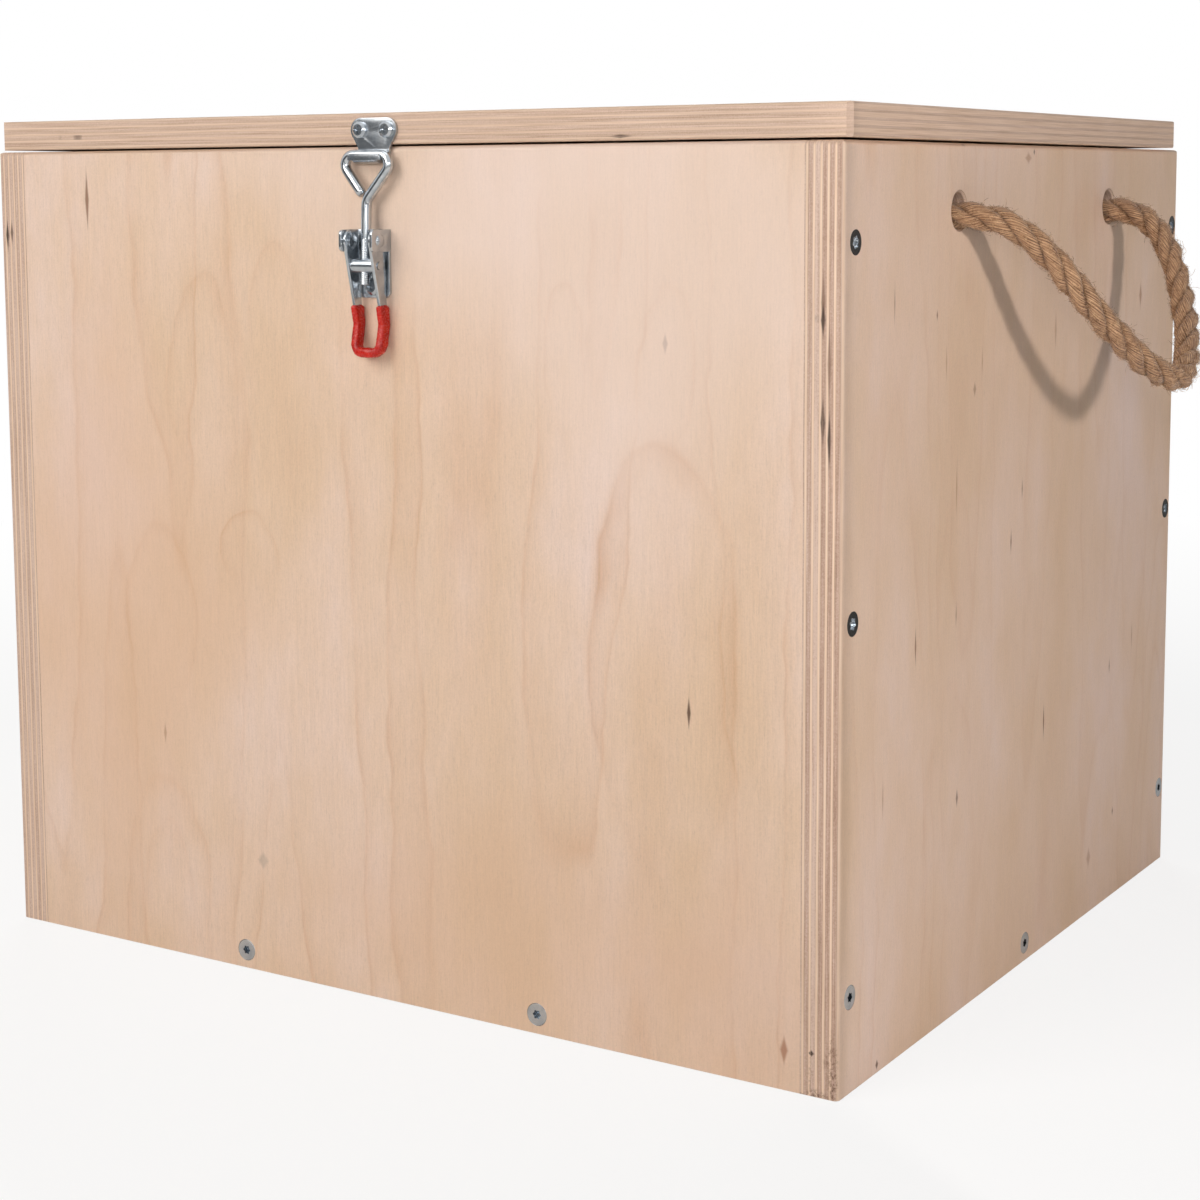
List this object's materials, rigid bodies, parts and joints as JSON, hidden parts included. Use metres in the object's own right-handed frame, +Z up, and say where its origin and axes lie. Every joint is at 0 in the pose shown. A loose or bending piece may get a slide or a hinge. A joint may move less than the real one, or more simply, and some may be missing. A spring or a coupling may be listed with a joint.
{
  "type": "plywood storage box",
  "caption": "Plywood box with a hinged lid, an adjustable over-centre toggle latch with a coated lever, and a hanging rope handle on its side.",
  "frame": {"origin": "centre of the body's underside, on the surface it stands on; the lid, latch and rope do not move it", "axes": "+X to the right along the front, towards the rope handle; -Y towards the latch; +Z up"},
  "size_m": [0.464, 0.362, 0.3488],
  "materials": {
    "plywood": "bare sanded birch plywood",
    "zinc_plate": "bright zinc plate",
    "zinc_wire": "bright zinc-plated wire",
    "red_dip": "dipped soft vinyl",
    "rope": "three-strand natural fibre"
  },
  "bodies": {
    "box": {"side_panel_right": "plywood", "side_panel_left": "plywood", "front_panel": "plywood", "back_panel": "plywood", "bottom_panel": "plywood", "screws_side_right": "zinc_plate", "screws_side_left": "zinc_plate", "screws_front": "zinc_plate", "screws_back": "zinc_plate", "rope_handle": "rope", "rope_knot_front": "rope", "rope_knot_back": "rope", "hinge_body_leaf_right": "zinc_plate", "hinge_body_leaf_left": "zinc_plate", "hinge_pin_right": "zinc_plate", "hinge_pin_left": "zinc_plate", "hinge_body_screws": "zinc_plate", "latch_base": "zinc_plate", "latch_base_screws": "zinc_plate", "lever_rivets": "zinc_plate"},
    "lid": {"lid_board": "plywood", "hinge_lid_leaf_right": "zinc_plate", "hinge_lid_leaf_left": "zinc_plate", "hinge_lid_screws": "zinc_plate", "catch_plate": "zinc_plate", "catch_screws": "zinc_plate"},
    "lever": {"latch_lever": "zinc_plate", "lever_grip": "red_dip"},
    "loop": {"trunnion_barrel": "zinc_plate", "loop_rod": "zinc_wire"}
  },
  "joints": [
    {"name": "lid_hinge", "type": "hinge", "parent": "box", "child": "lid", "pos_m": [0.0026, 0.1647, 0.3387], "axis": [-1, 0, 0], "range_deg": [0, 106]},
    {"name": "lever_swing", "type": "hinge", "parent": "box", "child": "lever", "pos_m": [0.0011, -0.182, 0.3005], "axis": [-1, 0, 0], "range_deg": [0, 110]},
    {"name": "loop_swing", "type": "hinge", "parent": "lever", "child": "loop", "pos_m": [0.0011, -0.1807, 0.291], "axis": [1, 0, 0], "range_deg": [0, 169]}
  ],
  "couplings": [
    {"joint": "loop_swing", "follows": "lever_swing", "ratio": 1.53}
  ]
}
